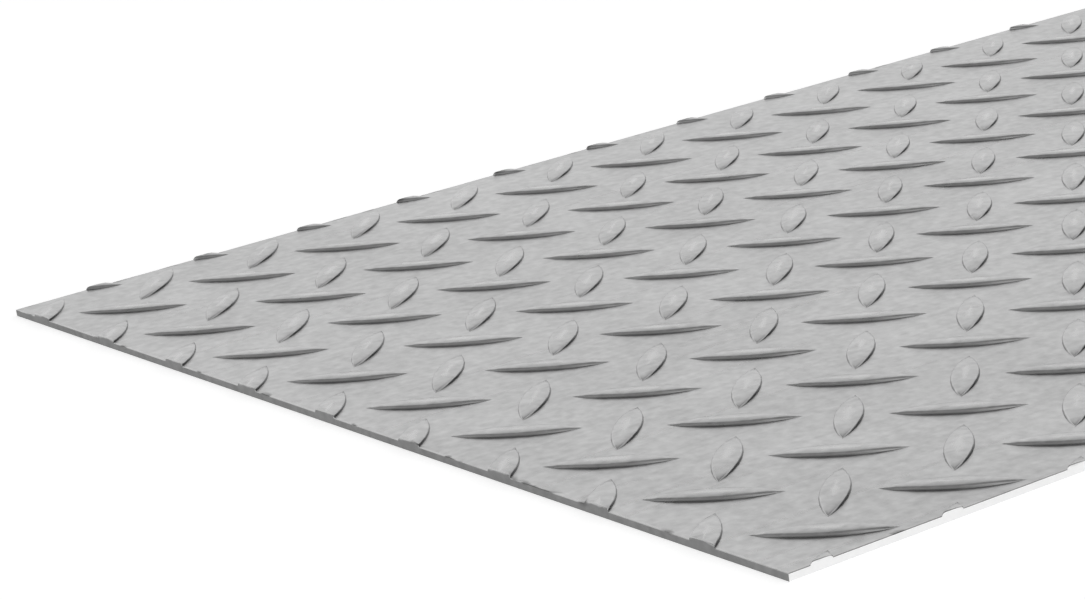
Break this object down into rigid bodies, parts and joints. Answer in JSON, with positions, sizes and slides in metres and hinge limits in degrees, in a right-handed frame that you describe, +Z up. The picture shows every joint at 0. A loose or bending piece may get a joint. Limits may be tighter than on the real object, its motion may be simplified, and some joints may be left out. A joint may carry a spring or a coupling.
{
  "type": "checker steel plate",
  "caption": "Flat rolled steel sheet, sheared square, with a tread of raised lens-shaped lugs lying in two crossing directions on top and a plain underside, for steps, ramps and floors.",
  "frame": {"origin": "on the floor plane, under the middle of the sheet", "axes": "+X along the sheet's length, +Y across its width, +Z up through its thickness, on the side of the lugs"},
  "size_m": [0.6096, 0.3048, 0.0024],
  "materials": {
    "steel": "mill finish, light neutral grey, semi-matt, unpainted"
  },
  "bodies": {
    "root": {"tread_plate": "steel"}
  },
  "joints": []
}
